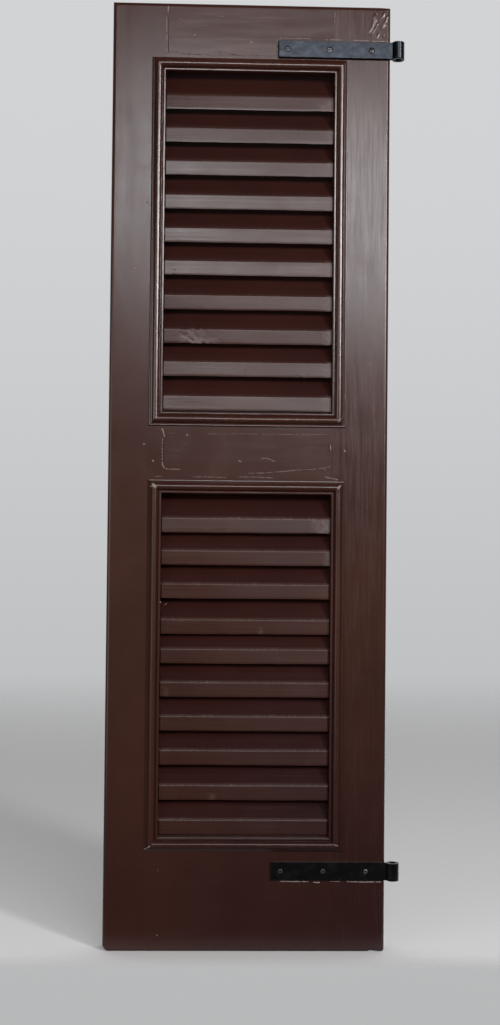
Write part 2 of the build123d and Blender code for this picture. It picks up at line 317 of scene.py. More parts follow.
def crack_shade_paint():
    """Painted shade for the dark inside of an open joint or a nail hole."""
    n = new_material("crack_shade_paint")
    grit = n.noise(500.0)
    n.surface("Base Color", n.mix(n.between(grit, 0.50, 0.80), crack_shade_tone, brown_deep))
    n.surface("Roughness", 0.95)
    n.surface("Specular IOR Level", 0.15)
    return n.owner


def dusty_sill():
    """Dirt that has settled on the sill under each row of slats."""
    n = new_material("dusty_sill")
    drift = n.noise(120.0, detail=5.0)
    n.surface("Base Color", n.mix(n.between(drift, 0.35, 0.70), brown_deep, sill_dust))
    n.surface("Roughness", 0.95)
    n.surface("Specular IOR Level", 0.1)
    n.surface("Normal", n.bump(drift, drift_depth))
    return n.owner


def black_iron(name, edges):
    """Blackened strip iron with a satin skin, a little brighter on the high spots."""
    n = new_material(name)
    blotch = n.noise(60.0, detail=6.0, roughness=0.65)
    grit = n.noise(900.0)
    n.surface("Base Color", n.mix(n.between(blotch, 0.50, 0.75), iron_sheen, iron_worn))
    n.surface("Metallic", 1.0)
    n.surface("Roughness", n.between(blotch, 0.30, 0.70, 0.25, 0.31))
    beaten = n.bump(n.noise(45.0, detail=2.0), beaten_depth)
    eased = eased_edges(n, edges, strap_arris_r, beaten)
    n.surface("Normal", n.bump(grit, grit_depth, eased))
    return n.owner


def screw_metal():
    """Blackened screw heads, scuffed bright on the dome, with a painted highlight there."""
    n = new_material("screw_metal")
    patch = n.noise(700.0, detail=4.0)
    bright = n.math("MULTIPLY", n.between(patch, 0.40, 0.60), n.attribute("wear_and_highlight"))
    n.surface("Base Color", n.mix(bright, screw_black, screw_bare_and_highlight))
    n.surface("Metallic", n.between(bright, 0.0, 1.0, 0.3, 0.5))
    n.surface("Roughness", n.between(patch, 0.30, 0.70, 0.28, 0.42))
    n.surface("Normal", n.bump(patch, patch_depth))
    return n.owner


upright_paint = gloss_paint("upright_paint", "z", ridge=0.00004, streaks=0.008, edges=leaf_edges)
ridged_paint = gloss_paint("ridged_paint", "z", ridge=0.00007, streaks=0.045,
                           streak_scale=(330.0, 14.0), edges=leaf_edges)
top_paint = gloss_paint("top_paint", "x", shine=0.215, ridge=0.00003, streaks=0.010, edges=leaf_edges)
level_paint = gloss_paint("level_paint", "x", shine=0.245, ridge=0.00003, streaks=0.015,
                          edges=leaf_edges)
slat_paint = gloss_paint("slat_paint", "x", shine=0.355, slope_shine=0.22, streaks=0.035,
                         streak_scale=(320.0, 4.0), left_gloss=0.075, worn=(0.46, 0.68), steady=0.35)

# The beads' paint: axis of the brush strokes, roughness and mirror strength. The middle one is for
# the beads above and below the middle rail.
bead_looks = {
    "upper_level": ("x", 0.20, 0.8), "upper_upright": ("z", 0.20, 0.8),
    "middle_level": ("x", 0.23, 0.6),
    "lower_level": ("x", 0.29, 0.4), "lower_upright": ("z", 0.29, 0.35),
}
bead_paints = {}
for name, (axis, shine, level) in bead_looks.items():
    bead_paints[name] = gloss_paint(name + "_bead_paint", axis, shine=shine, ridge=0.00001,
                                    worn=(0.50, 0.66), level=level)

line_paint = gloss_paint("line_paint", "x", worn=(0.35, 0.50), patches=False, bare=rubbed_dry)
faint_paint = gloss_paint("faint_paint", "x", worn=(0.40, 0.60), patches=False)
thick_paint = gloss_paint("thick_paint", "z", shine=0.24, worn=(0.30, 0.66), patches=False,
                          bare=rubbed_dry)
crack_shade = crack_shade_paint()
dust = dusty_sill()
irons = {}
for name in ("upper_strap_hinge", "lower_strap_hinge"):
    low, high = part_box(name)
    strap_edges = (("X", low.x, 1), ("Z", low.z, 1))
    irons[name] = black_iron(name.replace("strap_hinge", "iron"), strap_edges)
screw_finish = screw_metal()


# Mesh tools

arc_share = 0.45              # of a side, the most that the arc at one of its corners takes
same_place = 1e-7
fine_side_off = 1e-5          # how far both ends of the finely divided side may lie off it together


def loop_faces(first, rows, count, closed):
    """Faces over rows of points that start at that index, with capped ends where the rows are loops."""
    faces = []
    for i in range(rows - 1):
        here = first + i * count
        for j in range(count if closed else count - 1):
            k = (j + 1) % count
            faces.append((here + j, here + k, here + count + k, here + count + j))
    if closed:
        last = first + (rows - 1) * count
        faces.append(tuple(reversed(range(first, first + count))))
        faces.append(tuple(range(last, last + count)))
    return faces


def mesh_piece(name, skins, material, replaced=None, smooth_angle=50.0):
    """One piece from skins, each its rows of points, their values of scuffing and painted highlight, and
    whether the rows are loops.
    """
    points = []
    faces = []
    worn = []
    for rows, wear_and_highlight, closed in skins:
        faces += loop_faces(len(points), len(rows), len(rows[0]), closed)
        points += [point for row in rows for point in row]
        worn += [value for row in wear_and_highlight for value in row]
    mesh = bpy.data.meshes.new(name)
    mesh.from_pydata(points, [], faces)
    mesh.update()
    mesh.attributes.new("wear_and_highlight", "FLOAT", "POINT").data.foreach_set("value", worn)
    for polygon in mesh.polygons:
        polygon.use_smooth = True
    mesh.set_sharp_from_angle(angle=radians(smooth_angle))
    mesh.materials.append(material)
    piece = bpy.data.objects.new(name, mesh)
    bpy.context.scene.collection.objects.link(piece)
    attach(piece, "root")
    if replaced:
        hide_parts(replaced)


def rounded(corners, steps=3):
    """An outline of (a, b, radius) corners, with each corner turned into an arc of so many steps."""
    outline = []
    for i, (a, b, radius) in enumerate(corners):
        here = Vector((a, b))
        before = Vector(corners[i - 1][:2]) - here
        after = Vector(corners[(i + 1) % len(corners)][:2]) - here
        longest = arc_share * min(before.length, after.length)
        reach = min(radius / tan(before.angle(after) / 2), longest)
        if reach < same_place:
            outline.append(here)
            continue
        start = here + before.normalized() * reach
        end = here + after.normalized() * reach
        for step in range(steps + 1):
            t = step / steps
            outline.append(start * (1 - t) ** 2 + here * 2 * t * (1 - t) + end * t ** 2)
    return outline


def filled(outline, spacing, fine_at, fine):
    """The same closed outline with extra points on its long sides, closer on the side at one depth."""
    full = []
    for i, point in enumerate(outline):
        following = outline[(i + 1) % len(outline)]
        on_fine_side = abs(point.x - fine_at) + abs(following.x - fine_at) < fine_side_off
        pieces = max(1, round((following - point).length / (fine if on_fine_side else spacing)))
        for step in range(pieces):
            full.append(point.lerp(following, step / pieces))
    return full


# Slats

slat_names = [f"{part}_slat_{number:02d}" for part in ("upper", "lower") for number in range(1, 11)]
slat_face_h = 23 * mm
slat_slope = tan(radians(58))
slat_step = 2.5 * mm
side_step = 5 * mm            # round a slat, except on its face
fine_step = 1.3 * mm          # down every slat's face, and along a slat with rough spots
housed = 7.8 * mm             # of each end, in the stile
end_gap = 0.8 * mm            # beside the stile, where the face turns in
end_inset = 2.2 * mm          # how far back it turns there
set_back = 0.25               # mm that a face lies back, to leave its swells room
swell_h = 0.22 * mm
face_depth = 0.4 * mm         # behind this the paint on a slat's edges is whole
# How light the line along the top edge of each row's slats is: a painted highlight on the rounded edge
edge_highlight_by_row = {"upper": 0.3, "lower": 0.65}

# Rough spots: slat, middle and half width along it in mm from the leaf's left edge, depth in mm,
# how light the paint is rubbed, and how far down the face that starts, from 0 at its top to 1
# The spots at 334 mm lighten the slats' right ends: scuffed paint with a painted highlight where the faces
# turn in at the stile
rough_spots = (
    ("upper_slat_08", 132, 36, 0.50, 1.6, 0.60), ("upper_slat_08", 120, 26, 0.40, 0.5, 0.00),
    ("upper_slat_06", 92, 6, 1.20, 0.3, 0.65), ("upper_slat_09", 288, 9, 0.70, 1.0, 0.70),
    ("upper_slat_08", 334, 16, 0.50, 2.2, 0.00), ("upper_slat_07", 334, 18, 0.15, 1.8, 0.00),
    ("upper_slat_06", 334, 26, 0.10, 1.6, 0.00), ("upper_slat_09", 334, 16, 0.15, 1.8, 0.00),
    ("upper_slat_10", 334, 18, 0.15, 1.8, 0.00), ("upper_slat_02", 334, 16, 0.10, 1.2, 0.00),
    ("upper_slat_01", 334, 30, 0.05, 1.6, 0.30), ("upper_slat_03", 334, 16, 0.10, 1.2, 0.00),
    ("upper_slat_04", 334, 16, 0.10, 1.2, 0.00), ("upper_slat_05", 334, 18, 0.10, 1.2, 0.00),
    ("lower_slat_01", 334, 34, 0.15, 1.6, 0.00), ("lower_slat_02", 334, 12, 0.15, 1.4, 0.00),
    ("lower_slat_06", 90, 5, 0.50, 0.5, 0.40), ("lower_slat_04", 230, 6, 0.50, 0.6, 0.50),
    ("lower_slat_09", 160, 9, 0.40, 0.5, 0.50),
)

# How far the top of a slat's face leans back, in degrees, or its foot where that is negative. The
# others stand upright.
face_lean = {"upper_slat_01": 3.5, "upper_slat_02": 2.0, "upper_slat_03": 1.0, "upper_slat_06": 1.5,
             "upper_slat_07": -1.6, "upper_slat_08": -1.5, "upper_slat_09": 1.3, "upper_slat_10": 2.7,
             "lower_slat_01": 2.1, "lower_slat_04": -1.5}


def slat_lean(name):
    """How far the top of a slat's face lies behind its foot, in metres."""
    return tan(radians(face_lean.get(name, 0.0))) * slat_face_h


def slat_top(low, high):
    """The height of the face's top edge, and how far the slat rises from there to its back."""
    rise = (high.y - low.y) * slat_slope
    return (low.z + high.z) / 2 + (slat_face_h - rise) / 2, rise


def slat_section(low, high, top, rise):
    """The slat's cut across, from its lower back edge, with its edges eased."""
    corners = (
        (high.y, top + rise - slat_face_h, 1.6 * mm),
        (high.y, top + rise, 0.7 * mm),
        (low.y, top, 1.3 * mm),
        (low.y, top - slat_face_h, 1.1 * mm),
    )
    return filled(rounded(corners), side_step, low.y, fine_step)


def spots_near(name, x):
    """The rough spots of a slat at a place along it: nearness from 0 to 1, depth, lightness, start."""
    near = []
    for spot, middle, half, deep, light, start in rough_spots:
        reach = 1 - abs((x - leaf_left) / mm - middle) / half
        if spot == name and reach > 0:
            near.append((reach ** 0.5, deep, light, start))
    return near


def past_start(down, start):
    """From 0 above a rough spot's start on the face to 1 below it."""
    return held((down - start) * 8 + 1)


def edge_waves(spots, seed, x):
    """How far the face's lower and top edges stray upward: a long and a short wave each, and nicks at
    the rough spots."""
    low_wave = 0.60 * mm * wave(x, seed, 9) + 0.35 * mm * wave(x, seed + 0.3, 34)
    top_wave = 0.30 * mm * wave(x, seed + 0.6, 12) + 0.08 * mm * wave(x, seed + 0.9, 50)
    for near, deep, _, _ in spots:
        top_wave -= 1.6 * deep * mm * near * max(0.0, wave(x, seed + 1.2, 130))
        low_wave += 1.8 * deep * mm * near * max(0.0, wave(x, seed + 1.5, 150))
    return low_wave, top_wave


def slat_dent(spots, seed, x, z, down):
    """How far the face lies back at a place: dips of the plane, and chips at the rough spots."""
    dent = swell_h * noise_at(x * 14, z * 30, seed)
    for near, deep, _, start in spots:
        chips = noise_at(x * 110, z * 150, seed) + 0.3 * noise_at(x * 330, z * 330, seed)
        dent += deep * mm * near * past_start(down, start) * max(0.0, chips)
    return dent


def slat_wear_and_highlight(spots, seed, x, z, down, top_highlight):
    """How light the face is at a place: painted highlights in thin lines along its top and lower edges,
    and scuffed paint at the rough spots.
    """
    # Painted highlights in thin lines along the face's top and lower edges
    wear_and_highlight = max(0.0, top_highlight - abs(down) * 14, 0.5 - abs(1 - down) * 7)
    speckle = 0.75 + 0.8 * noise_at(x * 160, z * 160, seed + 3)
    for near, _, light, start in spots:
        wear_and_highlight = max(wear_and_highlight, light * speckle * near * near * past_start(down, start))
    return wear_and_highlight


def slat_piece(name, seed):
    low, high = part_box(name)
    top, rise = slat_top(low, high)
    section = slat_section(low, high, top, rise)
    lean = slat_lean(name)
    rough = any(spot[0] == name for spot in rough_spots)
    top_highlight = edge_highlight_by_row[name.split("_")[0]]
    count = round((high.x - low.x) / (fine_step if rough else slat_step))
    rows = []
    wear_and_highlight = []
    for i in range(count + 1):
        x = low.x + (high.x - low.x) * i / count
        from_end = min(x - low.x, high.x - x) - housed
        inset = end_inset * held(1 - from_end / end_gap) ** 2
        spots = spots_near(name, x)
        low_wave, top_wave = edge_waves(spots, seed, x)
        row = []
        row_wear_and_highlight = []
        for y, z in section:
            depth = (y - low.y) / (high.y - low.y)
            down = (top + rise * depth - z) / slat_face_h
            front = max(0.0, 1 - depth * 3)
            back_by = inset + slat_dent(spots, seed, x, z, down) + set_back * mm
            back_by += lean * (1 - down) if lean > 0 else -lean * down
            lift = (low_wave * down + top_wave * (1 - down)) * front
            row.append(Vector((x, y + back_by * front, z + lift)))
            on_face = y - low.y < face_depth
            row_wear_and_highlight.append(slat_wear_and_highlight(spots, seed, x, z, down, top_highlight) if on_face else 0.0)
        rows.append(row)
        wear_and_highlight.append(row_wear_and_highlight)
    mesh_piece(name + "_skin", [(rows, wear_and_highlight, True)], slat_paint, name)


for number, name in enumerate(slat_names):
    slat_piece(name, number + 1.0)


# Mouldings. The corners of the section are (outward, proud, radius) in mm, from the inner edge.

moulding_w = 20.8
moulding_foot = -0.2          # the section's foot is sunk in the frame
bead_out = 10.2
bead_r = 5.2
bead_spring = 4.4
bead_rise = 5.0
bead_steps = 16
bead_highest = 9.55           # the most that a swell raises the bead to
bead_arc = []
for step in range(1, bead_steps):
    angle = pi * step / bead_steps
    bead_arc.append((bead_out - bead_r * cos(angle), bead_spring + bead_rise * sin(angle), 0))
inner_side = [(0, moulding_foot, 0), (0, 5.0, 1.7), (2.9, 5.0, 0.9), (4.8, 3.0, 0.3)]
outer_arris = [(moulding_w, 0.4, 0.2), (moulding_w, moulding_foot, 0)]
outer_fillet = [(15.6, 2.2, 0.3), (18.6, 3.6, 0), (19.9, 3.6, 0.4)] + outer_arris
outer_lip = [(15.6, 2.2, 0.3), (18.8, 3.75, 0), (19.9, 3.63, 0.4)] + outer_arris
outer_step = [(15.6, 2.3, 0.2), (17.9, 1.7, 0), (18.4, 3.4, 0), (19.8, 3.2, 0.4)] + outer_arris
outer_slope = [(15.2, 4.4, 0.4), (moulding_w, 0.4, 0.3), (moulding_w, moulding_foot, 0)]

# The lengths without a plain fillet on their outer side
outer_sides = {
    "upper_moulding_top": outer_slope, "upper_moulding_left": outer_step, "lower_moulding_top": outer_lip,
    "lower_moulding_left": outer_slope, "lower_moulding_bottom": outer_slope,
}
moulding_step = 3 * mm
worn_reach = 55 * mm          # from the corner at which the upright beads are rubbed


def moulding_wear(out, proud):
    """Where hands and brushes rub: the crown of the bead and the arrises of the fillets."""
    crown = max(0.0, (proud - 8.0) / 1.6)
    inner = 0.8 * max(0.0, 1 - abs(out - 0.5) / 1.2) if proud > 3.5 else 0.0
    outer = 0.3 if proud > 3.4 and out > 17 else 0.0
    return min(1.0, max(crown, inner, outer))


def moulding_piece(name, centre, half, turn, paint, rubbing, worn_at, seed):
    """One mitred length. turn is 0 for the top, then on to the left, the bottom and the right."""
    corners = inner_side + bead_arc + outer_sides.get(name, outer_fillet)
    outline = [(p.x, p.y) for p in rounded(corners, steps=5)]
    count = round(2 * half / moulding_step)
    angle = radians(90 * turn)
    outward = Vector((-sin(angle), 0, cos(angle)))
    lengthwise = Vector((cos(angle), 0, sin(angle)))
    upright = turn in (1, 3)
    rows = []
    wear_and_highlight = []
    for i in range(count + 1):
        share = 1 - 2 * i / count
        ends = 1 - abs(share) ** 40
        row = []
        row_wear_and_highlight = []
        for out, proud in outline:
            way = share * (half + out * mm)
            sway = 0.22 * wave(way, seed, 10) + 0.07 * wave(way, seed + 0.4, 45)
            swell = 0.20 * wave(way, seed + 0.7, 16) + 0.07 * noise_at(way * 120, out * 0.5, seed)
            settled = held(proud / 2.5)
            shifted = out + sway * ends * settled
            raised = min(proud + (swell - 0.15) * settled, bead_highest)
            place = centre + lengthwise * way + outward * shifted * mm
            row.append(Vector((place.x, leaf_front - raised * mm, place.z)))
            by_corner = max(0.0, 1 - abs(place.z - worn_at) / worn_reach) if upright else 0.0
            row_wear_and_highlight.append(moulding_wear(out, proud) * max(rubbing, by_corner))
        rows.append(row)
        wear_and_highlight.append(row_wear_and_highlight)
    mesh_piece(name + "_run", [(rows, wear_and_highlight, True)], paint, name, smooth_angle=28)


# Each opening's first seed, whether its upright beads are rubbed at its bottom or its top, and for each
# side the bead's paint and how far it is rubbed
opening_looks = {
    "upper": (3.0, "bottom", {
        "top": ("upper_level", 0.45), "left": ("upper_upright", 0.1),
        "bottom": ("middle_level", 0.45), "right": ("upper_upright", 0.1),
    }),
    "lower": (11.0, "top", {
        "top": ("middle_level", 0.2), "left": ("lower_upright", 0.1),
        "bottom": ("lower_level", 0.25), "right": ("lower_upright", 0.1),
    }),
}
openings = {}                 # left, right, bottom and top of each opening on the leaf, in mm


def opening_mouldings(part):
    """The four mouldings round an opening, and the opening's own sides."""
    seed, worn_end, looks = opening_looks[part]
    left_low, left_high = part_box(part + "_moulding_left")
    low_x, high_x = left_high.x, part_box(part + "_moulding_right")[0].x
    low_z, high_z = left_low.z + moulding_w * mm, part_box(part + "_moulding_top")[0].z
    middle = Vector(((low_x + high_x) / 2, leaf_front, (low_z + high_z) / 2))
    half_w = (high_x - low_x) / 2
    half_h = (high_z - low_z) / 2
    up = Vector((0, 0, half_h))
    aside = Vector((half_w, 0, 0))
    places = {
        "top": (middle + up, half_w), "left": (middle - aside, half_h),
        "bottom": (middle - up, half_w), "right": (middle + aside, half_h),
    }
    worn_at = low_z if worn_end == "bottom" else high_z
    for turn, (side, (paint_name, rubbing)) in enumerate(looks.items()):
        centre, half = places[side]
        moulding_piece(f"{part}_moulding_{side}", centre, half, turn, bead_paints[paint_name], rubbing,
                       worn_at, seed + turn)
    openings[part] = (
        (low_x - leaf_left) / mm, (high_x - leaf_left) / mm,
        (low_z - leaf_foot) / mm, (high_z - leaf_foot) / mm,
    )


for part in opening_looks:
    opening_mouldings(part)


# Screws: a head with a crossed recess, sunk in a dark ring where it sits loose in the strap

screw_rings = 16
screw_spokes = 48
head_r = 4.0 * mm
rim_sunk = 0.9 * mm
loose_from = 0.82             # share of the radius past which the head falls into its dark ring
loose_depth = 0.8 * mm
bright_to = 0.84              # share of the radius up to which the head is scuffed bright, with a painted highlight
recess_depth = 1.6 * mm
recess_end_w = 0.5 * mm       # how gently the recess starts along an arm
recess_side_w = 0.3 * mm      # and across it
shank_r = 2.0 * mm

# Screw heads from the leaf's inside to its edge: height of the dome in mm, half length and half width
# of the recess in mm, how bright the head is scuffed and painted with a highlight, from 0 to 1, and the
# turn of the recess in degrees
screw_heads = {
    "upper_hinge_screw_1": (0.12, 1.3, 0.85, 0.70, 20), "upper_hinge_screw_2": (0.15, 1.4, 0.85, 1.00, 44),
    "upper_hinge_screw_3": (0.9, 1.6, 0.35, 0.80, 70), "lower_hinge_screw_1": (0.6, 2.4, 1.00, 0.45, 10),
    "lower_hinge_screw_2": (0.6, 2.2, 0.80, 0.50, 35), "lower_hinge_screw_3": (0.9, 1.6, 0.35, 0.90, 62),
}


def recess_at(x, z, half_l, half_w):
    """How deep the crossed recess is at a place on the head, as a share of its depth."""
    deep = 0.0
    for lengthwise, across in ((x, z), (z, x)):
        inside_l = held((half_l * mm - abs(lengthwise)) / recess_end_w)
        inside_w = held((half_w * mm - abs(across)) / recess_side_w)
        deep = max(deep, inside_l * inside_w)
    return deep


def screw_profile(low_y, high_y, dome_h):
    """Radius and depth of the screw's rings, from the middle of its head to its end."""
    rim_y = low_y + rim_sunk
    profile = []
    for i in range(1, screw_rings + 1):
        share = i / screw_rings
        ring_gap = loose_depth * max(0.0, (share - loose_from) / (1 - loose_from))
        profile.append((head_r * share, rim_y - dome_h * mm * (1 - share ** 2) + ring_gap))
    return profile + [(shank_r, rim_y + head_r - shank_r), (shank_r, high_y)]


def screw_piece(name, dome_h, half_l, half_w, brightness, turn):
    low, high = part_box(name)
    centre_x = (low.x + high.x) / 2
    centre_z = (low.z + high.z) / 2
    c, s = cos(radians(turn)), sin(radians(turn))
    rows = []
    wear_and_highlight = []
    for radius, y in screw_profile(low.y, high.y, dome_h):
        on_dome = radius < bright_to * head_r and y < low.y + rim_sunk
        row = []
        row_wear_and_highlight = []
        for spoke in range(screw_spokes):
            angle = -2 * pi * spoke / screw_spokes
            x, z = radius * cos(angle), radius * sin(angle)
            deep = recess_at(x * c + z * s, z * c - x * s, half_l, half_w) if radius < head_r else 0.0
            row.append(Vector((centre_x + x, y + deep * recess_depth, centre_z + z)))
            row_wear_and_highlight.append(brightness * (1 - deep) if on_dome else 0.0)
        rows.append(row)
        wear_and_highlight.append(row_wear_and_highlight)
    mesh_piece(name + "_head", [(rows, wear_and_highlight, True)], screw_finish, name, smooth_angle=70)


for name, shape in screw_heads.items():
    screw_piece(name, *shape)


# Old paint: raised lines, dark cracks, a thick patch, dabs and flecks. Places and widths are in mm,
# and every line starts and ends by sinking into the face it lies on.

line_step = 1.0
sunk = 0.15

# Across a line: place from -1 to 1, and how far it is rubbed there
line_section = ((-1.0, 0.0), (-0.5, 0.7), (0.0, 1.0), (0.5, 0.7), (1.0, 0.0))
dab_rings = 6
dab_spokes = 20


def line_places(points):
    """Points along a line through these, a step apart."""
    places = []
    for (x0, z0), (x1, z1) in zip(points, points[1:]):
        pieces = max(1, round(((x1 - x0) ** 2 + (z1 - z0) ** 2) ** 0.5 / line_step))
        places += [(x0 + (x1 - x0) * i / pieces, z0 + (z1 - z0) * i / pieces) for i in range(pieces)]
    return places + [points[-1]]


def line_skin(points, width, proud, seed, unbroken=False):
    """A raised line through points of the face, thicker and thinner on its way, or gone for a stretch."""
    places = line_places(points)
    last = len(places) - 1
    rows = []
    wear_and_highlight = []
    for i, (x, z) in enumerate(places):
        before = places[max(0, i - 1)]
        after = places[min(last, i + 1)]
        ahead = Vector((after[0] - before[0], after[1] - before[1])).normalized()
        swell = 0.75 + 0.4 * wave(i, seed, 0.11) if unbroken else 0.60 + 1.4 * wave(i, seed, 0.17)
        ends = min(1.0, i / 3, (last - i) / 3)
        height = proud * min(1.3, swell) * ends
        sway = 0.25 * wave(i, seed + 0.5, 0.21)
        row = []
        for t, _ in line_section:
            aside = t * width / 2 + sway
            up = height * (1 - t * t) - (sunk if abs(t) == 1 else 0.0)
            row.append(on_leaf(x + ahead.y * aside, z - ahead.x * aside, up))
        rows.append(row)
        wear_and_highlight.append([rubbing for _, rubbing in line_section])
    return rows, wear_and_highlight, False


def dab_skin(x, z, long, wide, proud, tilt, seed, face=0.0):
    """A low lump with an uneven rim, its length tilted by so many degrees from level."""
    along_x, along_z = cos(radians(tilt)), sin(radians(tilt))
    rows = []
    wear_and_highlight = []
    for ring in range(dab_rings):
        # From just off the middle to the rim
        reach = (ring + 0.4) / (dab_rings - 0.6)
        row = []
        for spoke in range(dab_spokes):
            angle = -2 * pi * spoke / dab_spokes
            rim = 1 + 0.3 * noise_at(cos(angle), sin(angle), seed * 3.1)
            a, b = reach * rim * long / 2 * cos(angle), reach * rim * wide / 2 * sin(angle)
            dx, dz = a * along_x - b * along_z, a * along_z + b * along_x
            rough = 1 + 0.35 * noise_at(dx * 0.9, dz * 0.9, seed)
            up = proud * rough * (1 - reach * reach) - (sunk if ring == dab_rings - 1 else 0.0)
            row.append(on_leaf(x + dx, z + dz, face + up))
        rows.append(row)
        wear_and_highlight.append([1 - reach ** 2] * dab_spokes)
    return rows, wear_and_highlight, True


# Raised lines: points, width, height
shoulder_lines = (
    (((82.2, 1414), (81.8, 1408), (81.6, 1401)), 1.9, 0.35),
    (((80.0, 1398), (80.4, 1380), (80.9, 1344)), 1.4, 0.30),
    (((333.5, 1409), (333.3, 1393)), 1.1, 0.15),
    (((79.0, 777), (81.2, 772.5), (83.6, 763)), 2.0, 0.40),
    (((80.9, 726), (80.9, 722), (83.3, 717), (89.7, 714.9)), 1.8, 0.40),
    (((90.5, 714.9), (107.3, 715.0)), 1.2, 0.20),
    (((331.7, 754), (332.4, 750), (333.0, 746)), 2.0, 0.45),
)
shoulder_dots = tuple(
    (((80.7, z), (80.8, z - 2.8)), 1.7, 0.38) for z in (760.5, 755.6, 751, 746, 741.3, 736.5, 731.8)
)
rail_lines = (
    (((90.5, 768.8), (98.4, 768.6)), 2.2, 0.22),
    (((149, 768.2), (211, 769.2), (262, 768.9)), 1.2, 0.05),
    (((262, 768.9), (326, 769.6)), 1.4, 0.07),
    (((228.0, 731.6), (233.9, 733.0), (239.4, 732.0), (251.0, 726.6)), 2.4, 0.26),
    (((209.8, 709.9), (229.7, 710.6), (258, 713.0)), 2.0, 0.18),
    (((258, 713.0), (285.6, 715.6), (312.2, 717.4), (321.1, 718.7), (332.2, 721.2)), 2.4, 0.32),
    (((317.5, 719.4), (325.8, 716.2)), 2.0, 0.26),
    (((324.4, 705.9), (328.6, 704.5), (344.2, 701.8)), 2.8, 0.40),
    (((126.3, 703.6), (150.4, 703.8), (176.4, 703.2)), 2.0, 0.14),
    (((194.1, 704.2), (219.4, 704.3), (247.3, 703.4)), 2.0, 0.14),
    (((70.5, 703.8), (79.9, 704.0)), 2.2, 0.26),
    (((98.3, 1394.6), (103, 1392.4), (108.4, 1390.6)), 2.6, 0.24),
    (((119.8, 1369.2), (124.4, 1371.2)), 2.4, 0.22),
    (((147.6, 1399.0), (168.8, 1399.4)), 1.4, 0.06),
)
moulding_edge_lines = (
    (((79, 1342.4), (97, 1342.6), (112, 1341.2), (136, 1340.4), (150, 1340.6)), 1.6, 0.32),
    (((158, 1344.6), (169.5, 1343.6), (185, 1340.6), (199, 1340.4)), 1.8, 0.35),
    (((206, 1340.6), (240, 1340.2), (262, 1341.0)), 1.3, 0.25),
)
strap_edge_lines = (
    (((247.2, 1366.5), (246.8, 1356), (247.0, 1342)), 1.6, 0.50),
    (((250, 1368.2), (272, 1368.3), (298, 1368.0)), 1.4, 0.32),
    (((318, 1367.4), (346, 1367.0)), 1.4, 0.30),
    (((362, 1367.0), (386, 1366.6), (414, 1366.2)), 2.0, 0.45),
    (((262, 103.4), (281, 103.2), (305, 103.0)), 2.0, 0.45),
    (((312, 102.4), (318, 101.6), (325, 102.2)), 2.2, 0.50),
    (((338, 103.4), (352, 103.2)), 1.4, 0.25),
    (((362, 103.2), (388, 102.6), (413, 103.0)), 2.0, 0.45),
)

# Open cracks beside the shoulders, as dark strips of painted shade on the paint: points, width
cracks = (
    (((81.9, 1397.5), (82.4, 1370), (83.0, 1344)), 1.7),
    (((332.0, 1411), (332.2, 1396)), 1.0),
    (((82.8, 762), (82.6, 745), (82.8, 724)), 1.1),
    (((330.6, 744.5), (330.0, 756)), 1.5),
)
crack_proud = 0.06

# Thick paint dragged down by the upper hinge: left, right, bottom, top, height, tilt
paint_patch = (384.0, 416.5, 1369.5, 1414.0, 1.3, 62)
patch_step = 0.5

# Dabs and specks: middle, length, width, height, tilt, height of the face they lie on
dabs = (
    (117.5, 766.4, 5.0, 2.6, 0.45, -40, 0), (66.9, 727.0, 4.2, 5.0, 0.50, 10, 0),
    (52.9, 752.3, 5.2, 2.2, 0.35, 0, 0), (196.8, 727.9, 6.0, 2.2, 0.28, -20, 0),
    (354.4, 745.0, 6.4, 3.0, 0.45, -45, 0), (35.8, 1015.3, 4.5, 2.4, 0.25, 30, 0),
    (80.4, 516.5, 2.2, 2.8, 0.35, 0, 4.85), (207.6, 1361.5, 4.4, 2.4, 0.25, 35, 0),
    (213.0, 1340.8, 7.0, 1.8, 0.35, 0, 0), (255.0, 1346.0, 4.4, 1.6, 0.25, 0, 0),
)

# The same without the face's height, for faint dabs and for the painted shade of a nail hole
faint_dabs = ((80.8, 118.3, 2.6, 4.0, 0.20, 0), (81.2, 23.4, 4.2, 2.8, 0.30, -30))
nail_hole = (54.1, 1115.2, 3.2, 2.4, 0.17, 40)

# Flecks on slat faces: slat, middle along the leaf, way down the face from 0 to 1, length, width, tilt
slat_flecks = (
    ("upper_slat_09", 203.0, 0.62, 4.6, 1.8, 58), ("upper_slat_09", 206.8, 0.45, 3.6, 1.4, -30),
    ("upper_slat_09", 199.0, 0.72, 3.0, 1.3, -15), ("upper_slat_09", 207.5, 0.70, 2.4, 1.2, 20),
)
fleck_proud = 0.35

# A smear on the slope behind a slat's face: slat, middle, way above the face's top edge in mm, length,
# width, tilt
slope_smear = ("lower_slat_04", 88.0, 23.0, 7.0, 2.6, 35)
smear_proud = 0.4

# Paint left in the mitres: opening, side and end of it, way out from the inner corner, length, width
# and tilt
mitre_dabs = (
    ("upper", "left", "bottom", 9.0, 6, 2.4, -50),
    ("upper", "right", "bottom", 10.5, 9, 3.0, 55), ("lower", "left", "top", 10.5, 11, 4.6, -50),
    ("lower", "left", "top", 10.0, 14, 2.4, 5), ("lower", "right", "top", 11.0, 9, 4.0, 40),
    ("lower", "right", "bottom", 9.0, 12, 2.0, -15), ("lower", "left", "bottom", 12.0, 9, 2.0, 30),
    ("lower", "left", "bottom", 16.0, 10, 1.8, 5),
)
mitre_proud = 0.25
mitre_sunk = 0.15             # how deep a dab's foot lies in the moulding
mitre_highest = 9.3           # the most that the bead stands proud in its mitres
fillet_h = 3.6


def moulding_height(out):
    """How far the moulding stands proud at a way out from its inner edge, past its cove, in mm."""
    aside = (out - bead_out) / bead_r
    if abs(aside) < 1:
        return min(bead_spring + bead_rise * (1 - aside ** 2) ** 0.5, mitre_highest)
    return fillet_h


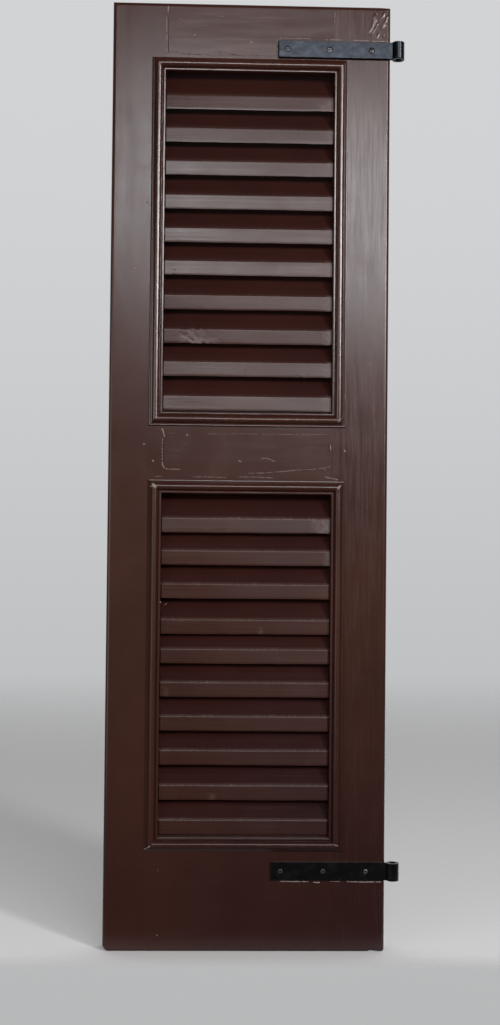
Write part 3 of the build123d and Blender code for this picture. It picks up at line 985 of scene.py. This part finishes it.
def mitre_skins():
    """The dabs in the mitres, each on the moulding's face at its own way out."""
    skins = []
    for i, (part, side, end, out, long, wide, tilt) in enumerate(mitre_dabs):
        left, right, bottom, top = openings[part]
        x = left - out if side == "left" else right + out
        z = top + out if end == "top" else bottom - out
        face = moulding_height(out) - mitre_sunk
        skins.append(dab_skin(x, z, long, wide, mitre_proud, tilt, 120.0 + i, face))
    return skins


def fleck_skin(name, x, down, long, wide, tilt, seed):
    """A fleck on a slat's face."""
    low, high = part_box(name)
    z = (slat_top(low, high)[0] - slat_face_h * down - leaf_foot) / mm
    back = (low.y - leaf_front + slat_lean(name) * (1 - down)) / mm + set_back
    return dab_skin(x, z, long, wide, fleck_proud, tilt, seed, -back)


def slope_skin(name, x, above, long, wide, tilt, seed):
    """A smear on the slope behind a slat's face, so many millimetres above the face's top edge."""
    low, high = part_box(name)
    top = slat_top(low, high)[0]
    rows, wear_and_highlight, closed = dab_skin(x, (top - leaf_foot) / mm + above, long, wide, smear_proud, tilt, seed)
    for row in rows:
        for point in row:
            point.y += low.y - leaf_front + (point.z - top) / slat_slope
    return rows, wear_and_highlight, closed


def patch_skin(left, right, bottom, top, proud, tilt, seed):
    """Thick paint in ridges along its tilt, sunk into the face between them and all round."""
    columns = round((right - left) / patch_step)
    lines = round((top - bottom) / patch_step)
    along_x, along_z = cos(radians(tilt)), sin(radians(tilt))
    rows = []
    wear_and_highlight = []
    for i in range(lines + 1):
        row = []
        row_wear_and_highlight = []
        for j in range(columns + 1):
            a, b = 2 * j / columns - 1, 2 * i / lines - 1
            x, z = left + (right - left) * j / columns, bottom + (top - bottom) * i / lines
            across, lengthwise = z * along_x - x * along_z, x * along_x + z * along_z
            ridge = noise_at(across * 0.20, lengthwise * 0.075, seed)
            broken = noise_at(x * 0.16, z * 0.16, seed + 4)
            within = (1 - a ** 4) * (1 - b ** 4) * held(1.25 + 0.9 * a - 0.35 * b)
            up = within * max(0.0, ridge + 0.40 * broken + 0.05) * 1.6
            row.append(on_leaf(x, z, proud * up - sunk))
            row_wear_and_highlight.append(min(1.0, 1.5 * max(0.0, up - 0.25)))
        rows.append(row)
        wear_and_highlight.append(row_wear_and_highlight)
    return rows, wear_and_highlight, False


def lines_piece(name, lines, paint, seed):
    skins = [line_skin(*line, seed=seed + i) for i, line in enumerate(lines)]
    mesh_piece(name, skins, paint)


lines_piece("shoulder_lines", shoulder_lines + shoulder_dots, line_paint, seed=21.0)
lines_piece("rail_lines", rail_lines, faint_paint, seed=34.0)
lines_piece("moulding_edge_lines", moulding_edge_lines, faint_paint, seed=52.0)
lines_piece("strap_edge_lines", strap_edge_lines, line_paint, seed=61.0)

crack_skins = []
for i, (points, width) in enumerate(cracks):
    crack_skins.append(line_skin(points, width, crack_proud, seed=71.0 + i, unbroken=True))
crack_skins.append(dab_skin(*nail_hole, seed=75.0))
mesh_piece("open_cracks", crack_skins, crack_shade)

mesh_piece("paint_patch", [patch_skin(*paint_patch, seed=83.0)], thick_paint)

dab_skins = [dab_skin(*dab[:6], seed=95.0 + i, face=dab[6]) for i, dab in enumerate(dabs)]
mesh_piece("paint_dabs", dab_skins, line_paint)
faint_skins = [dab_skin(*dab, seed=110.0 + i) for i, dab in enumerate(faint_dabs)]
mesh_piece("faint_dabs", faint_skins, faint_paint)
mesh_piece("mitre_dabs", mitre_skins(), line_paint)

fleck_skins = [fleck_skin(*fleck, seed=160.0 + i) for i, fleck in enumerate(slat_flecks)]
fleck_skins.append(slope_skin(*slope_smear, seed=170.0))
mesh_piece("slat_flecks", fleck_skins, faint_paint)


# Dirt on the sills, which rise toward the back under the last slat of each row

sill_rise = tan(radians(15))
sill_depth = 24 * mm
sill_rows = 8
sill_step = 5                 # mm along the sill
dust_from = 0.2 * mm          # behind the leaf's front
dust_t = 0.3 * mm


def sill_dirt(part):
    """A thin uneven layer over the front of one sill."""
    left, right, bottom, _ = openings[part]
    count = round((right - left) / sill_step)
    rows = []
    for i in range(count + 1):
        x = right - (right - left) * i / count
        row = []
        for j in range(sill_rows + 1):
            back = sill_depth * j / sill_rows
            thick = dust_t * (1 + 0.5 * wave(x, 140.0 + j, 0.2))
            row.append(on_leaf(x, bottom) + Vector((0, dust_from + back, back * sill_rise + thick)))
        rows.append(row)
    wear_and_highlight = [[0.0] * len(row) for row in rows]
    mesh_piece(part + "_sill_dirt", [(rows, wear_and_highlight, False)], dust)


for part in openings:
    sill_dirt(part)


# Frame members and straps keep their own solids

own_looks = {
    "left_stile": upright_paint, "right_stile": ridged_paint, "top_rail": top_paint,
    "mid_rail": level_paint, "bottom_rail": level_paint, **irons,
}
for name, node in nodes.items():
    if name.endswith("_wedge"):
        own_looks[name] = level_paint
for name, look in own_looks.items():
    nodes[name].data.materials[0] = look


# Studio

def lamp(name, place, aim, size_x, size_y, radiance, colour, roll=0.0):
    """A soft box that faces a point, with the radiance of its face and a roll in degrees."""
    data = bpy.data.lights.new(name, "AREA")
    data.shape = "RECTANGLE"
    data.size = size_x
    data.size_y = size_y
    data.energy = radiance * pi * size_x * size_y
    data.color = colour
    light = bpy.data.objects.new(name, data)
    light.location = place
    facing = (Vector(aim) - Vector(place)).to_track_quat("-Z", "Y")
    light.rotation_euler = (facing @ Quaternion((0, 0, 1), radians(roll))).to_euler()
    light.visible_camera = False
    bpy.context.scene.collection.objects.link(light)


# Where the studio's tones pass into one another: how far up a direction points, from -1 to 1, and in
# the last one how far back
low_to_band = (-0.28, -0.06)
band_to_high = (0.06, 0.26)
low_to_wall = (-0.35, 0.35)
front_to_back = (-0.1, 0.5)

# From where the floor is gone to where it is whole, in metres: in front of the leaf, behind it and to
# both sides
floor_starts = (-0.09, -0.005)
floor_ends = (4.5, 0.8)
floor_sides = (3.2, 1.0)
floor_reach = 5.0


def studio_world():
    """Dim in front of the leaf and overhead, warm near the horizon there, and pale behind the leaf."""
    world = bpy.data.worlds.new("studio")
    bpy.context.scene.world = world
    n = Nodes(world, "Generated")
    direction = n.split(n.place)
    below = n.mix(n.between(direction["Z"], *low_to_band, eased=True), front_low, front_band)
    front = n.mix(n.between(direction["Z"], *band_to_high, eased=True), below, front_high)
    back = n.mix(n.between(direction["Z"], *low_to_wall, eased=True), pale_low, pale_wall)
    whole = n.mix(n.between(direction["Y"], *front_to_back, eased=True), front, back)
    n.put(n.tree.nodes["Background"].inputs["Color"], whole)


def studio_floor():
    """A pale floor under the leaf that thins out into the studio's own tone."""
    n = new_material("studio_paper")
    place = n.split(n.place)
    ahead = n.between(place["Y"], *floor_starts, eased=True)
    beyond = n.between(place["Y"], *floor_ends, eased=True)
    aside = n.between(n.math("ABSOLUTE", place["X"]), *floor_sides, eased=True)
    n.surface("Base Color", (*paper, 1.0))
    n.surface("Roughness", 0.9)
    n.surface("Specular IOR Level", 0.1)
    n.surface("Alpha", n.math("MULTIPLY", n.math("MULTIPLY", ahead, beyond), aside))
    mesh = bpy.data.meshes.new("floor")
    corners = ((-1, -1), (1, -1), (1, 1), (-1, 1))
    places = [(floor_reach * x, floor_reach * y, leaf_foot) for x, y in corners]
    mesh.from_pydata(places, [], [(0, 1, 2, 3)])
    mesh.materials.append(n.owner)
    floor = bpy.data.objects.new("floor", mesh)
    bpy.context.scene.collection.objects.link(floor)


studio_world()
studio_floor()

# Lamps: name, place, what they face, width and height, radiance, colour and roll
lamp("key", (1.75, -2.6, 1.85), (-0.22, 0.0, 0.6), 0.40, 1.1, 31.0, lamp_warm)
lamp("fill", (-1.7, -1.6, 0.6), (-0.22, 0.0, 0.55), 1.5, 1.5, 1.5, lamp_warm)
lamp("sky", (0.996, -4.0, 1.908), (-0.22, 0.0, 1.0), 4.0, 0.9, 9.2, lamp_cool, roll=-12.9)

# Camera

lens = bpy.data.cameras.new("camera")
lens.sensor_width = sensor
lens.lens = focal_px / photo_h * sensor
lens.clip_start = 0.05
camera = bpy.data.objects.new("camera", lens)
bpy.context.scene.collection.objects.link(camera)
turn = Quaternion(camera_turn.normalized(), radians(camera_turn.length)).to_matrix()
axes = [turn @ Vector(axis) for axis in ((1, 0, 0), (0, 0, 1), (0, -1, 0))]
camera.matrix_world = Matrix.Translation(camera_place) @ Matrix(axes).transposed().to_4x4()
bpy.context.scene.camera = camera

bpy.context.scene.view_settings.view_transform = "Standard"
